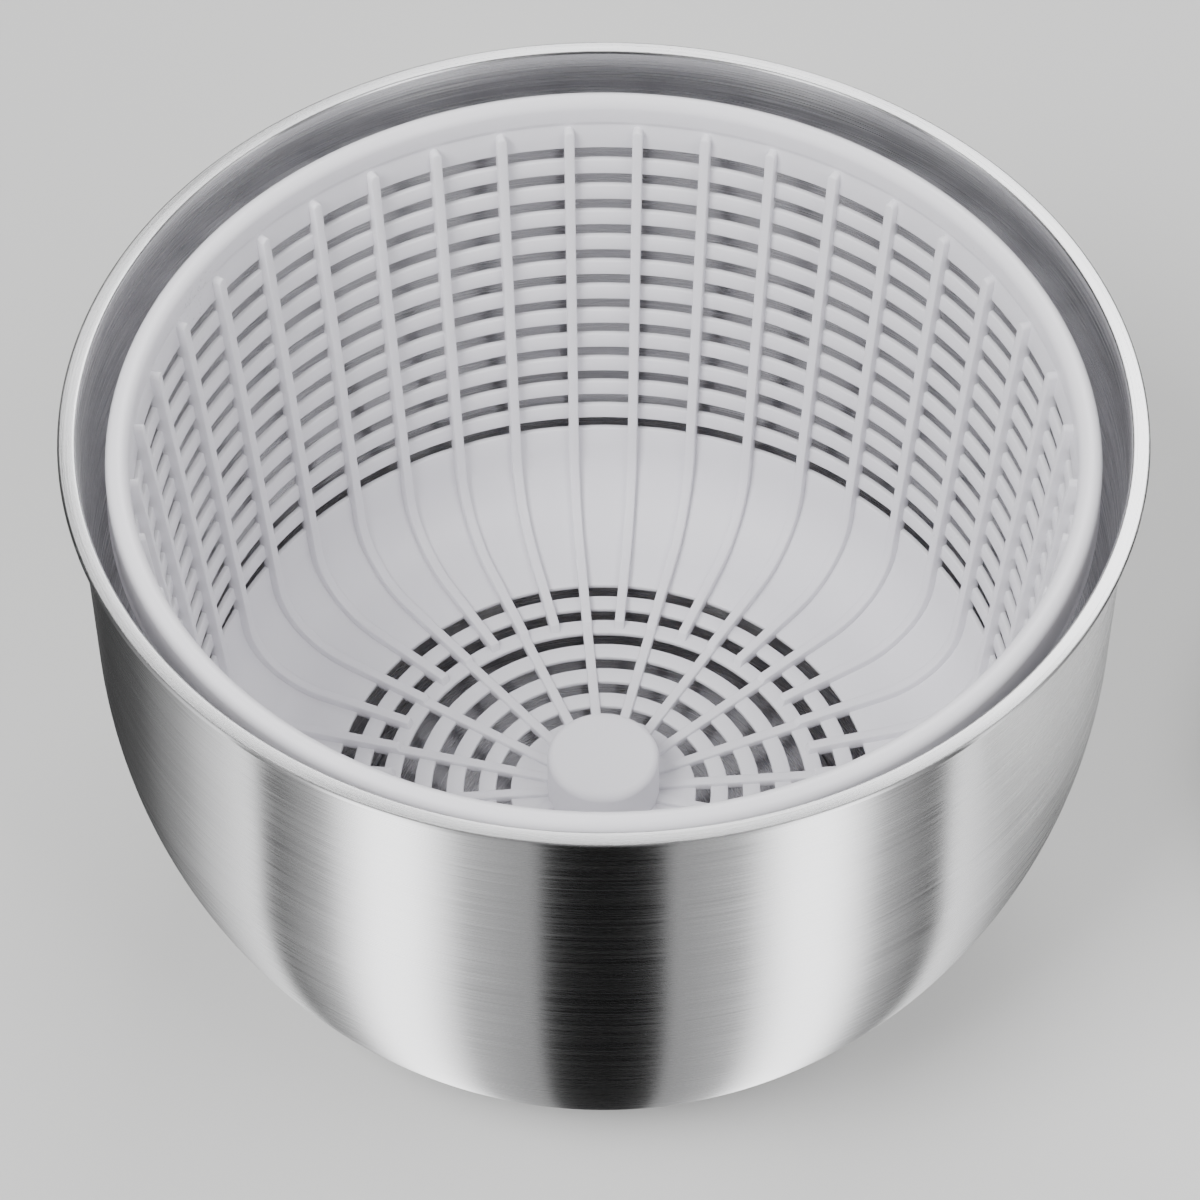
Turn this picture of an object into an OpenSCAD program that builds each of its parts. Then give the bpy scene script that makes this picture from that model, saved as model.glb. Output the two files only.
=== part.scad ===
// Salad spinner: a brushed steel bowl, a slotted plastic basket that turns on a pivot,
// and a lid with a crank, a planetary gear, a drive plate and a brake.
// The bowl stands on the origin. The lid lies on the table beside it, right side up.

/* [Bowl] */
// Outer radius of the flat rim
rim_r = 132; // [125:1:160]
// Height of the rim above the table
bowl_h = 172; // [143:1:207]
// Width of the flat rim outside the wall
rim_w = 3.7; // [2:0.1:6]
// Thickness of the hemmed rim
rim_t = 1.5; // [1:0.1:3]
// Thickness of the steel sheet
steel_t = 0.7; // [0.5:0.1:1.2]
// Radius of the large arc of the side
side_arc_r = 152; // [140:1:183]
// Radius of the small arc into the base
base_arc_r = 27; // [20:1:34]
// Angle that the large arc turns through
side_arc_deg = 39; // [33:1:45]
// How far the silicone pad's edge lies inside the flat base
pad_inset = 7.4; // [3:0.2:20]
// Thickness of the silicone pad
pad_t = 2; // [1.5:0.1:3]
// How far the pad stands proud of the steel
pad_proud = 0.4; // [0.2:0.1:0.8]

/* [Pivot] */
// Radius of the steel pivot pin
pin_r = 4; // [3:0.1:5]
// Radius of the flange welded to the bowl
pin_flange_r = 12; // [9:1:16]
// Thickness of that flange
pin_flange_t = 1.5; // [1:0.1:2.5]
// Side of the square key on the turning cap
key_w = 16; // [14:0.5:20]
// Height of the square key
key_h = 15; // [10:1:18]
// Radius of the cap's flange, which carries the basket
cap_flange_r = 15; // [13:0.5:20]
// Thickness of the cap over the tip of the pin
cap_roof_t = 2.75; // [2:0.25:5]

/* [Basket] */
// Height of the basket's underside above the table
basket_z = 20; // [18:1:26]
// Depth of the basket's lip below the rim
lip_drop = 6.7; // [5:0.1:10]
// Space between the lip and the bowl wall
lip_gap = 6.3; // [4:0.1:9]
// Width of the rounded lip
lip_w = 5.7; // [4.5:0.1:8]
// Depth of the thick part of the lip
lip_h = 8; // [6:0.5:12]
// Depth of the thin skirt below the lip
lip_skirt_h = 6; // [3:0.5:9]
// Thickness of the wall and the floor
basket_t = 1.5; // [1.2:0.1:2.5]
// Outer radius of the corner between wall and floor
corner_r = 24; // [18:1:29]
// Least space between the corner and the bowl
corner_gap = 3.5; // [2:0.1:6]
// Number of upright ribs
rib_n = 40; // [24:2:48]
// Width of a rib
rib_w = 2.6; // [2:0.1:4]
// How far a rib stands proud inside
rib_proud = 2.4; // [1.5:0.1:3.5]
// Depth of the rib tops below the lip
rib_drop = 8.7; // [8:0.1:14]
// Depth of the first row of slots below the lip
row_drop = 18; // [15:0.5:24]
// Spacing of the rows of slots
row_pitch = 8.7; // [7:0.1:12]
// Height of a slot
slot_h = 4; // [2:0.1:5]
// Radius of the hub in the middle of the floor
hub_r = 15; // [14:0.5:20]
// Radius at which the floor ribs change from many to half as many
floor_ring_r = 57; // [45:1:65]

/* [Lid] */
// Space on the table between the bowl's rim and the lid laid beside it
table_gap = 45.4; // [20:0.2:130]
// Thickness of the lid
lid_t = 2.2; // [1.8:0.1:3]
// Depth of the lid's skirt
skirt_h = 24; // [20:1:30]
// Thickness of the skirt
skirt_t = 2; // [1.6:0.1:3]
// Space between the skirt and the bowl wall
skirt_gap = 1.6; // [1:0.1:2.5]
// How far the lid stands out past the bowl's rim
lid_over = 0.6; // [0:0.1:2]
// Height of the sealing ring
seal_h = 3; // [2:0.1:4]

/* [Gears] */
// Module of the gear teeth
gear_m = 1.5; // [1.25:0.05:1.8]
// Teeth on the sun gear
sun_n = 12; // [12:6:18]
// Teeth on each planet gear
planet_n = 18; // [18:6:24]
// Width of the gear faces
gear_h = 7; // [5:0.5:9]
// Play between two teeth on the pitch circle
backlash = 0.16; // [0.1:0.02:0.3]
// Thickness of the planet carrier
carrier_t = 3; // [2:0.5:4]
// Radius of the planet pins
planet_pin_r = 2.5; // [2:0.1:3]
// Thickness of the plate that closes the gear case
cover_t = 2.5; // [2:0.1:4]

/* [Drive plate] */
// Thickness of the plate that turns the basket
plate_t = 2; // [1.6:0.1:3]
// Number of lugs that reach between the basket's ribs
lug_n = 8; // [4:4:8]
// Width of a lug
lug_w = 4; // [3:0.5:8]
// Depth that a lug reaches below the rib tops
lug_grip = 6; // [4:0.5:7]

/* [Crank] */
// Distance from the crank's axis to the knob's axis
crank_len = 72; // [55:1:78]
// Direction of the crank arm
crank_deg = 235; // [0:1:359]
// Thickness of the crank arm
arm_t = 6; // [4:0.5:8]
// Radius of the arm's hub
arm_hub_r = 15; // [13:0.5:18]
// Radius of the arm's outer end
arm_end_r = 10; // [8:0.5:12]
// Radius of the crank's journal in the lid
journal_r = 9; // [8.5:0.1:11]
// Height of the knob
knob_h = 37; // [30:1:45]
// Largest radius of the knob
knob_r = 16; // [13.5:0.5:19]
// Radius of the pin that the knob turns on
knob_pin_r = 4; // [3:0.1:5]

/* [Brake] */
// Distance from the inside of the lid's skirt to the brake button's axis
brake_inset = 20; // [16:1:20]
// Direction of the brake button
brake_deg = 325; // [0:1:359]
// Radius of the brake button
button_r = 12; // [10:0.5:13]
// Radius of the button's stem
stem_r = 3; // [2.5:0.1:3.5]
// Space between the button and its collar
button_gap = 0.3; // [0.2:0.05:0.5]
// Radius of the rubber brake pad
brake_pad_r = 8; // [6:0.5:9]
// Thickness of the brake pad
brake_pad_t = 2.8; // [2:0.1:3]

/* [Fits] */
// Radial clearance of a shaft that turns or slides in a hole
run_c = 0.06; // [0.02:0.01:0.1]
// Clearance on each side of a square key
key_c = 0.1; // [0.05:0.01:0.2]

/* [Hidden] */
$fn = 72;
e = 0.01;

// Bowl: a straight wall, a large arc, a small arc and a flat base
wall_r = rim_r - rim_w;
side_z = side_arc_r * sin(side_arc_deg) + base_arc_r * (1 - sin(side_arc_deg));
side_x = wall_r - side_arc_r;
base_r = side_x + (side_arc_r - base_arc_r) * cos(side_arc_deg);
pad_r = base_r - pad_inset;
bowl_z = pad_proud;
recess_h = pad_t - pad_proud;
floor_z = bowl_z + recess_h + steel_t;
bowl_in_r = wall_r - steel_t;

// Pivot
pin_z = floor_z + pin_flange_t;
cap_low = pin_z + 3;
cap_wall = 4;
cap_flange_t = 3;
end_gap = 0.05;
cap_top = basket_z + key_h;
bore_top = cap_top - cap_roof_t;
pin_top = bore_top - end_gap;

// Basket: the wall leans in from the lip to a corner that clears the bowl
lip_r = bowl_in_r - lip_gap;
lip_z = bowl_h - lip_drop;
lip_low = lip_z - lip_h;
lip_overhang = 0.6;
lip_skirt_t = 1.5;
lip_ridge_r = 0.9;
wall_in_r = lip_r - lip_w + lip_overhang;
corner_z = basket_z + corner_r;
corner_reach = side_arc_r - steel_t - corner_gap - corner_r;
corner_x = side_x + sqrt(pow(corner_reach, 2) - pow(bowl_z + side_z - corner_z, 2));
lean_dx = wall_in_r + basket_t - corner_x;
lean_dz = lip_low - corner_z;
draft = atan2(lean_dx, lean_dz) - asin(corner_r / norm([lean_dx, lean_dz]));
corner_in_r = corner_r - basket_t;
rib_top = lip_z - rib_drop;
row_n = floor((lip_z - row_drop - corner_z - 6) / row_pitch) + 1;
floor_slot_r = hub_r + 12;
floor_slot_n = floor((corner_x - 5 - floor_slot_r) / row_pitch) + 1;
hub_gap = 0.4;
hub_edge_r = 2;
hub_top = cap_top + hub_gap + basket_t;

// Lid, measured up from the face that rests on the rim
lid_r = rim_r + lid_over;
lid_x = rim_r + table_gap + lid_r;
skirt_r = bowl_in_r - skirt_gap;
dome_r = skirt_r - skirt_t;
seal_top = -4;
seal_low = seal_top - seal_h;
seal_seat = 1;
lip_clear = 0.5;
plate_low = lip_clear - lip_drop;
plate_top = plate_low + plate_t;
spacer_t = 2;
cover_low = plate_top + spacer_t;
cover_top = cover_low + cover_t;
washer_t = 0.5;
gear_low = cover_top + washer_t;
gear_top = gear_low + gear_h;
gear_clear = 0.4;
carrier_low = gear_top + gear_clear;
carrier_top = carrier_low + carrier_t;
bush_low = carrier_top + 0.6;
bush_flange_t = 1;
boss_low = bush_low + bush_flange_t;
lid_top = boss_low + 1 + lid_t;
boss_top = lid_top + 2;
arm_low = boss_top + washer_t;
dome_arc_r = (pow(dome_r, 2) + pow(lid_top - lid_t, 2)) / (2 * (lid_top - lid_t));
function dome_z(r) = lid_top - dome_arc_r + sqrt(pow(dome_arc_r, 2) - r * r);

// Planetary gear: the ring is fixed, the crank turns the carrier, the sun turns the plate
ring_n = sun_n + 2 * planet_n;
sun_r = gear_m * sun_n / 2;
planet_r = gear_m * planet_n / 2;
ring_r = gear_m * ring_n / 2;
orbit_r = sun_r + planet_r;
pressure_deg = 20;
addendum = 0.85 * gear_m;
dedendum = 1.15 * gear_m;
ring_out_r = ring_r + dedendum + 3.8;
case_r = ring_out_r + 3;
sun_phase = planet_n % 2 == 0 ? 180 / sun_n : 0;
shaft_r = 5;
spigot_r = 3;
square_w = 7;
square_low = plate_low - 4;
washer_r = sun_r - 0.6;
plate_washer_t = 0.8;
bush_wall = 2;

// Screws
screw_r = 1.4;
screw_head_r = 2.9;
screw_head_h = 1.4;
case_screw_n = 4;
case_screw_r = case_r + 5.5;
case_post_r = 4;
case_plate_r = case_screw_r + case_post_r + 1.5;
bolt_r = 1.7;

// Drive plate
plate_r = lip_r - 2.3;
plate_hub_r = 14;
plate_well_r = 8;
plate_rib_w = 2;
plate_rib_h = 5;
ring_wall_r = wall_in_r - 8;
ring_wall_t = 2;
lug_clear = 1.2;
lug_low = -lip_drop - rib_drop - lug_grip;
lug_r = wall_in_r - lug_grip * tan(draft) - lug_clear;
ring_wall_low = lug_low + 4;
lug_step = 0.5;
peg_r = 1.5;

// Crank
arm_top = arm_low + arm_t;
key_side = (journal_r - 1) * sqrt(2);
key_top = arm_top - 1.4;
arm_hub_top = arm_top + 4.6;
cap_seat_r = arm_hub_r - 4;
knob_low = arm_top + 0.4;
knob_top = knob_low + knob_h;
knob_seat = knob_top - 7;
knob_cap_r = 9;
knob_neck_r = knob_r - 5;
ball_z = knob_top - sqrt(pow(knob_r, 2) - pow(knob_cap_r + 0.5, 2));

// Brake
brake_r = dome_r - brake_inset;
collar_r = button_r + button_gap;
collar_t = 2.2;
well_low = 3;
well_floor_t = 2;
collar_top = dome_z(brake_r - collar_r) + 3.5;
button_top = collar_top + 2.5;
spring_low = well_low + well_floor_t;
spring_top = button_top - 2;
pad_low = well_low - brake_pad_t - 0.15;
brake_travel = pad_low - plate_top - 0.05;
button_low = spring_low + brake_travel + 0.5;
wire_r = 0.4;
coil_r = 6.5;
coil_turns = 3;

module on_lid() translate([lid_x, 0, skirt_h]) children();
module ring(r_in, r_out, z0, z1) translate([r_in, z0]) square([r_out - r_in, z1 - z0]);
module tube(r_in, r_out, z0, z1) rotate_extrude() ring(r_in, r_out, z0, z1);
module disc(r, z0, z1) translate([0, 0, z0]) cylinder(r = r, h = z1 - z0);
module block(w, z0, z1) translate([-w / 2, -w / 2, z0]) cube([w, w, z1 - z0]);

// Half section of the bowl's outside, pulled in by t
module bowl_half(t, top) {
  arc_z = base_arc_r - (base_arc_r - t) * sin(side_arc_deg);
  ring(0, wall_r - t, side_z - e, top);
  intersection() {
    translate([side_x, side_z]) circle(r = side_arc_r - t, $fn = 240);
    ring(0, wall_r, arc_z, side_z);
  }
  intersection() {
    translate([base_r, base_arc_r]) circle(r = base_arc_r - t);
    ring(base_r - e, wall_r, 0, arc_z + e);
  }
  ring(0, base_r, t, arc_z + e);
}

// The sheet is pressed up over the pad and hemmed outwards at the rim
module bowl() color("#b9bcc0") translate([0, 0, bowl_z]) rotate_extrude() {
  rim_top = bowl_h - bowl_z;
  difference() {
    union() {
      bowl_half(0, rim_top);
      translate([rim_r - rim_t / 2, rim_top - rim_t / 2]) circle(d = rim_t, $fn = 24);
      ring(wall_r - e, rim_r - rim_t / 2, rim_top - rim_t, rim_top);
    }
    difference() {
      bowl_half(steel_t, rim_top + 1);
      ring(0, pad_r + steel_t, 0, recess_h + steel_t);
    }
    ring(0, pad_r, -1, recess_h);
  }
}

module base_pad() color("#6d6f72") disc(pad_r, 0, pad_t);

// A stud with a round tip, welded to the middle of the floor
module pivot_pin() color("#c8cacd") {
  disc(pin_flange_r, floor_z, pin_z);
  disc(pin_r, pin_z - e, pin_top - pin_r);
  translate([0, 0, pin_top - pin_r]) intersection() {
    sphere(r = pin_r);
    disc(pin_r + 1, -e, pin_r + 1);
  }
}

// The cap turns on the pin. Its square key drives the basket, which lifts off it.
module pivot_cap() color("#e4e2dc") difference() {
  union() {
    disc(pin_r + cap_wall, cap_low, basket_z);
    disc(cap_flange_r, basket_z - cap_flange_t, basket_z);
    block(key_w, basket_z - e, cap_top);
  }
  disc(pin_r + run_c, cap_low - 1, bore_top);
}

// Half section of a cup around the basket's corner centre, rc away from it
module cup_half(rc, top) {
  touch = [corner_x + rc * cos(draft), corner_z - rc * sin(draft)];
  top_x = touch.x + (top - touch.y) * tan(draft);
  polygon([[0, corner_z - rc], [corner_x, corner_z - rc], [corner_x, corner_z],
           touch, [top_x, top], [0, top]]);
  translate([corner_x, corner_z]) circle(r = rc);
}

module lip_half() {
  mid = lip_r - lip_w / 2;
  translate([mid, lip_z - lip_w / 2]) circle(d = lip_w, $fn = 32);
  ring(lip_r - lip_w, lip_r, lip_low, lip_z - lip_w / 2);
  ring(lip_r - lip_skirt_t, lip_r, lip_low - lip_skirt_h, lip_low + e);
  translate([lip_r - 0.4, lip_low - lip_skirt_h + lip_ridge_r]) circle(r = lip_ridge_r, $fn = 24);
}

module basket_shell() rotate_extrude() {
  lip_half();
  difference() {
    cup_half(corner_r, lip_low + 1);
    cup_half(corner_in_r, lip_low + 2);
    ring(-1, hub_r - 1, 0, hub_top);
    for (i = [0 : row_n - 1])
      ring(corner_x + 8, lip_r, lip_z - row_drop - i * row_pitch - slot_h / 2,
           lip_z - row_drop - i * row_pitch + slot_h / 2);
    for (i = [0 : floor_slot_n - 1])
      ring(floor_slot_r + i * row_pitch - slot_h / 2, floor_slot_r + i * row_pitch + slot_h / 2,
           basket_z - 1, corner_z);
  }
}

// One rib: up the wall, round the corner and in along the floor, with a round top
module basket_rib() intersection() {
  rotate([90, 0, 0]) translate([0, 0, -rib_w / 2]) linear_extrude(rib_w) difference() {
    cup_half(corner_r - 0.3, rib_top + 1);
    cup_half(corner_in_r - rib_proud, rib_top + 2);
    ring(-1, floor_ring_r, 0, corner_z);
    ring(-1, corner_x, corner_z - 1, rib_top + 2);
  }
  rotate([90, 0, 90]) linear_extrude(lip_r) {
    translate([0, rib_top - rib_w / 2]) circle(d = rib_w, $fn = 24);
    translate([-rib_w / 2, 0]) square([rib_w, rib_top - rib_w / 2]);
  }
}

module basket_hub() difference() {
  union() {
    disc(hub_r, basket_z, hub_top - hub_edge_r);
    rotate_extrude() {
      ring(0, hub_r - hub_edge_r, hub_top - hub_edge_r - 1, hub_top);
      translate([hub_r - hub_edge_r, hub_top - hub_edge_r]) circle(r = hub_edge_r, $fn = 24);
    }
  }
  block(key_w + 2 * key_c, basket_z - 1, cap_top + hub_gap);
}

module basket() color("#f2f1f4") {
  basket_shell();
  basket_hub();
  for (i = [0 : rib_n - 1]) rotate([0, 0, (i + 0.5) * 360 / rib_n]) basket_rib();
  for (i = [0 : rib_n / 2 - 1]) rotate([0, 0, (i * 2 + 0.5) * 360 / rib_n])
    translate([hub_r - 1, -rib_w / 2, basket_z + 0.3])
      cube([floor_ring_r - hub_r + 2, rib_w, basket_t + 0.9]);
}

// Half section of the lid: dome, flange, skirt, gear case wall and centre boss
module lid_half() {
  difference() {
    intersection() {
      translate([0, lid_top - dome_arc_r]) circle(r = dome_arc_r, $fn = 720);
      ring(journal_r + bush_wall + run_c, dome_r + e, 0, lid_top + 1);
    }
    translate([0, lid_top - dome_arc_r]) circle(r = dome_arc_r - lid_t, $fn = 720);
  }
  ring(dome_r - 2, lid_r - lid_t / 2, 0, lid_t);
  translate([lid_r - lid_t / 2, lid_t / 2]) circle(d = lid_t, $fn = 24);
  difference() {
    ring(dome_r, skirt_r, -skirt_h, lid_t / 2);
    ring(skirt_r - seal_seat, skirt_r + 1, seal_low, seal_top);
  }
  ring(ring_out_r, case_r, cover_top, dome_z(case_r) - 1);
  ring(journal_r + bush_wall + run_c, journal_r + bush_wall + 3, boss_low, boss_top);
}

module at_screws() for (i = [0 : case_screw_n - 1])
  rotate([0, 0, (i + 0.5) * 360 / case_screw_n]) translate([case_screw_r, 0, 0]) children();
module at_brake() rotate([0, 0, brake_deg]) translate([brake_r, 0, 0]) children();

module lid_cover() color("#f4f4f2") on_lid() {
  difference() {
    rotate_extrude() lid_half();
    at_brake() disc(collar_r, 0, lid_top);
  }
  at_screws() tube(screw_r, case_post_r, cover_top, dome_z(case_screw_r + case_post_r) - 1);
  at_brake() difference() {
    disc(collar_r + collar_t, well_low, collar_top);
    disc(collar_r, spring_low, collar_top + 1);
    disc(stem_r + run_c, 0, spring_low + 1);
  }
}

module lid_seal() color("#9a9c9e") on_lid() rotate_extrude() {
  ring(skirt_r - seal_seat, skirt_r + 0.2, seal_low, seal_top);
  intersection() {
    translate([skirt_r, (seal_low + seal_top) / 2]) circle(r = skirt_gap - 0.3, $fn = 24);
    ring(skirt_r - seal_seat, skirt_r + skirt_gap, seal_low, seal_top);
  }
}

module gear_case_plate() color("#eceae6") on_lid() difference() {
  disc(case_plate_r, cover_low, cover_top);
  disc(shaft_r + run_c + bush_wall, cover_low - 1, cover_top + 1);
  at_screws() disc(screw_r, cover_low - 1, cover_top + 1);
}

module case_screws() color("#b4b6ba") on_lid() at_screws() difference() {
  union() {
    disc(screw_head_r, cover_low - screw_head_h, cover_low);
    disc(screw_r, cover_low - e, cover_top + 7);
  }
  translate([-screw_head_r * 0.7, -0.3, cover_low - screw_head_h - 1])
    cube([screw_head_r * 1.4, 0.6, 1.6]);
}

module crank_bush() color("#d8d2c2") on_lid() {
  tube(journal_r + run_c, journal_r + run_c + bush_wall, boss_low - e, boss_top);
  tube(journal_r + run_c, journal_r + bush_wall + 3, bush_low, boss_low);
}

module drive_bush() color("#d8d2c2") on_lid()
  tube(shaft_r + run_c, shaft_r + run_c + bush_wall, cover_low, cover_top);

function involute(a) = tan(a) * 180 / PI - a;
// Half the angle that a tooth of n teeth fills at radius r, thinned by play on its pitch circle
function half_tooth(r, n, play) = let (rp = gear_m * n / 2, rb = rp * cos(pressure_deg))
  90 / n - play / 2 / rp * 180 / PI + involute(pressure_deg)
  - (r > rb ? involute(acos(rb / r)) : 0);
function polar(r, a) = [r * cos(a), r * sin(a)];

// Outline of a gear with involute flanks, from the root radius to the tip radius
module gear_outline(n, root, tip, play) {
  base = gear_m * n / 2 * cos(pressure_deg);
  first = max(root, base);
  radii = concat(root < base ? [root] : [], [for (k = [0 : 3]) first + (tip - first) * k / 3]);
  last = len(radii) - 1;
  polygon([for (i = [0 : n - 1]) each concat(
    [for (k = [0 : last]) polar(radii[k], i * 360 / n - half_tooth(radii[k], n, play))],
    [for (k = [0 : last])
      polar(radii[last - k], i * 360 / n + half_tooth(radii[last - k], n, play))])]);
}

module spur_gear(n, r, bore) translate([0, 0, gear_low]) linear_extrude(gear_h) difference() {
  gear_outline(n, r - dedendum, r + addendum, backlash / 2);
  if (bore > 0) circle(r = bore);
}

// The ring's spaces are the teeth of a gear of the same number, half a pitch on
module ring_gear() color("#e9e4d6") on_lid() translate([0, 0, cover_top])
  linear_extrude(gear_top - cover_top) difference() {
    circle(r = ring_out_r);
    gear_outline(ring_n, ring_r - addendum, ring_r + dedendum, -backlash / 2);
  }

module at_planets() for (i = [0 : 2]) rotate([0, 0, i * 120]) translate([orbit_r, 0, 0]) children();

module planet_carrier() color("#e4e2dc") on_lid() difference() {
  union() {
    disc(orbit_r + planet_pin_r + 3, carrier_low, carrier_top);
    disc(journal_r, carrier_top - e, arm_low);
    rotate([0, 0, crank_deg]) block(key_side, arm_low - e, key_top);
  }
  disc(spigot_r + run_c, carrier_low - 1, carrier_low + 2.5);
  disc(bolt_r, carrier_top, key_top + 1);
  at_planets() disc(planet_pin_r, carrier_low - 1, carrier_top + 1);
}

module planet_pins() color("#b4b6ba") on_lid() at_planets() disc(planet_pin_r, gear_low, carrier_top);

// A planet at angle a is turned so that it meshes with the fixed ring
module planet_gear(a) color("#efece2") on_lid() rotate([0, 0, a]) translate([orbit_r, 0, 0])
  rotate([0, 0, -a * ring_n / planet_n]) spur_gear(planet_n, planet_r, planet_pin_r + run_c);

module planet_gear_a() planet_gear(0);
module planet_gear_b() planet_gear(120);
module planet_gear_c() planet_gear(240);

module sun_shaft() color("#e4e2dc") on_lid() difference() {
  union() {
    rotate([0, 0, sun_phase]) spur_gear(sun_n, sun_r, 0);
    disc(spigot_r, gear_top - e, carrier_low + 2);
    disc(shaft_r, plate_top, gear_low + e);
    block(square_w, square_low, plate_top + e);
  }
  disc(screw_r, square_low - 1, cover_low);
}

// A washer above the case plate and a thicker one below it, on the drive plate
module thrust_washers() color("#d9dadc") on_lid() {
  tube(shaft_r + 0.1, washer_r, cover_top, gear_low);
  tube(shaft_r + 0.1, washer_r, plate_top, cover_low);
}

module at_lugs() for (i = [0 : lug_n - 1]) rotate([0, 0, i * 360 / lug_n]) children();
module at_pegs() at_lugs() translate([ring_wall_r + 3, 0, 0]) children();

module drive_plate() color("#efeff1") on_lid() difference() {
  union() {
    disc(plate_r, plate_low, plate_top);
    disc(plate_hub_r, square_low - plate_rib_w, plate_top);
    at_lugs() translate([plate_hub_r - 1, -plate_rib_w / 2, plate_low - plate_rib_h])
      cube([ring_wall_r - plate_hub_r, plate_rib_w, plate_rib_h + e]);
  }
  block(square_w + 2 * key_c, square_low - 3, plate_top + 1);
  disc(plate_well_r, square_low - 3, square_low);
  at_pegs() disc(peg_r, plate_low - 1, plate_top + 1);
}

// A ring under the plate, held by pegs, with the lugs that reach between the basket's ribs
module drive_ring() color("#e6e6e8") on_lid() {
  tube(ring_wall_r, ring_wall_r + ring_wall_t, ring_wall_low, plate_low);
  at_lugs() translate([ring_wall_r + lug_step, -lug_w / 2, lug_low])
    cube([lug_r - ring_wall_r - lug_step, lug_w, plate_low - lug_low - lug_step]);
  at_pegs() disc(peg_r, plate_low - 1, plate_top);
}

module plate_washer() color("#d9dadc") on_lid()
  tube(screw_r + 0.1, plate_well_r - 0.3, square_low - plate_washer_t, square_low);

module plate_screw() color("#b4b6ba") on_lid() {
  disc(screw_head_r + 0.6, square_low - plate_washer_t - 1.8, square_low - plate_washer_t);
  disc(screw_r, square_low - plate_washer_t - e, square_low + 6);
}

module crank_washer() color("#d9dadc") on_lid()
  tube(journal_r + 0.1, journal_r + bush_wall + 2.5, boss_top, arm_low);

module on_crank() on_lid() rotate([0, 0, crank_deg]) children();
module at_knob() on_crank() translate([crank_len, 0, 0]) children();

// Outline of the arm: two round ends joined by their outer tangents
module arm_outline() {
  a = acos((arm_hub_r - arm_end_r) / crank_len);
  circle(r = arm_hub_r);
  translate([crank_len, 0]) circle(r = arm_end_r);
  polygon([polar(arm_hub_r, a), polar(arm_hub_r, -a),
           [crank_len, 0] + polar(arm_end_r, -a), [crank_len, 0] + polar(arm_end_r, a)]);
}

module crank_arm() color("#f4f4f2") on_crank() difference() {
  union() {
    translate([0, 0, arm_low]) linear_extrude(arm_t) arm_outline();
    disc(arm_hub_r, arm_low, arm_hub_top);
  }
  block(key_side + 2 * key_c, arm_low - 1, key_top + 0.1);
  disc(bolt_r + 0.3, arm_low, arm_hub_top);
  disc(cap_seat_r, arm_top + 0.6, arm_hub_top + 1);
  translate([crank_len, 0, 0]) disc(knob_pin_r - 1.2, arm_low - 1, arm_top + 1);
}

module crank_screw() color("#b4b6ba") on_crank() {
  disc(bolt_r + 2.3, arm_top + 0.6, arm_top + 2.6);
  disc(bolt_r, carrier_top + 1, arm_top + 0.6 + e);
}

module crank_cap() color("#c8cacd") on_crank() rotate_extrude() {
  ring(0, cap_seat_r, arm_hub_top - 1.6, arm_hub_top);
  intersection() {
    translate([0, arm_hub_top + 1 - 61]) circle(r = 61, $fn = 360);
    ring(0, cap_seat_r, arm_hub_top - e, arm_hub_top + 2);
  }
}

// A shoulder pin screwed into the arm, with a head that keeps the knob on
module knob_pin() color("#b4b6ba") at_knob() {
  disc(knob_pin_r - 1.2, arm_low, arm_top + e);
  disc(knob_pin_r, arm_top, knob_seat + 0.2);
  disc(knob_pin_r + 3, knob_seat + 0.2, knob_seat + 2.2);
}

// A ball on a neck, cut flat on top for the cap
module crank_knob() color("#f4f4f2") at_knob() difference() {
  rotate_extrude() {
    ring(0, knob_neck_r + 2, knob_low, knob_low + 3);
    ring(0, knob_neck_r, knob_low + 3 - e, ball_z);
    intersection() {
      translate([0, ball_z]) circle(r = knob_r);
      ring(0, knob_r + 1, knob_low, knob_top);
    }
  }
  disc(knob_cap_r, knob_top - 3, knob_top + 1);
  disc(knob_pin_r + run_c, knob_low - 1, knob_top);
  disc(knob_pin_r + 3.4, knob_seat, knob_top);
}

module knob_cap() color("#c8cacd") at_knob() rotate_extrude() {
  ring(0, knob_cap_r, knob_top - 3, knob_top - 1.4);
  intersection() {
    translate([0, knob_top - 0.4 - 41]) circle(r = 41, $fn = 240);
    ring(0, knob_cap_r, knob_top - 1.4 - e, knob_top);
  }
}

// A hollow button on a stem that slides through the floor of its well
module brake_button() color("#8f9498") on_lid() at_brake() {
  tube(button_r - 2, button_r, button_low, button_top - 1);
  disc(button_r, button_top - 2, button_top - 1);
  disc(button_r - 1, button_top - 1 - e, button_top);
  disc(stem_r, pad_low + 0.8, button_top - 1);
}

module brake_pad() color("#3c3d3f") on_lid() at_brake() difference() {
  disc(brake_pad_r, pad_low, pad_low + brake_pad_t);
  disc(stem_r, pad_low + 0.8, pad_low + brake_pad_t + 1);
}

// A round wire swept along a helix, with flat turns left at both ends
coil_steps = 16;
wire_sides = 8;
coil_rings = coil_turns * coil_steps;
function coil_point(i, j) = let (
    t = i / coil_rings,
    a = i * 360 / coil_steps,
    b = j * 360 / wire_sides,
    rise = spring_top - spring_low - 2 * wire_r,
    r = coil_r + wire_r * cos(b))
  [r * cos(a), r * sin(a), spring_low + wire_r + t * rise + wire_r * sin(b)];

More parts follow.
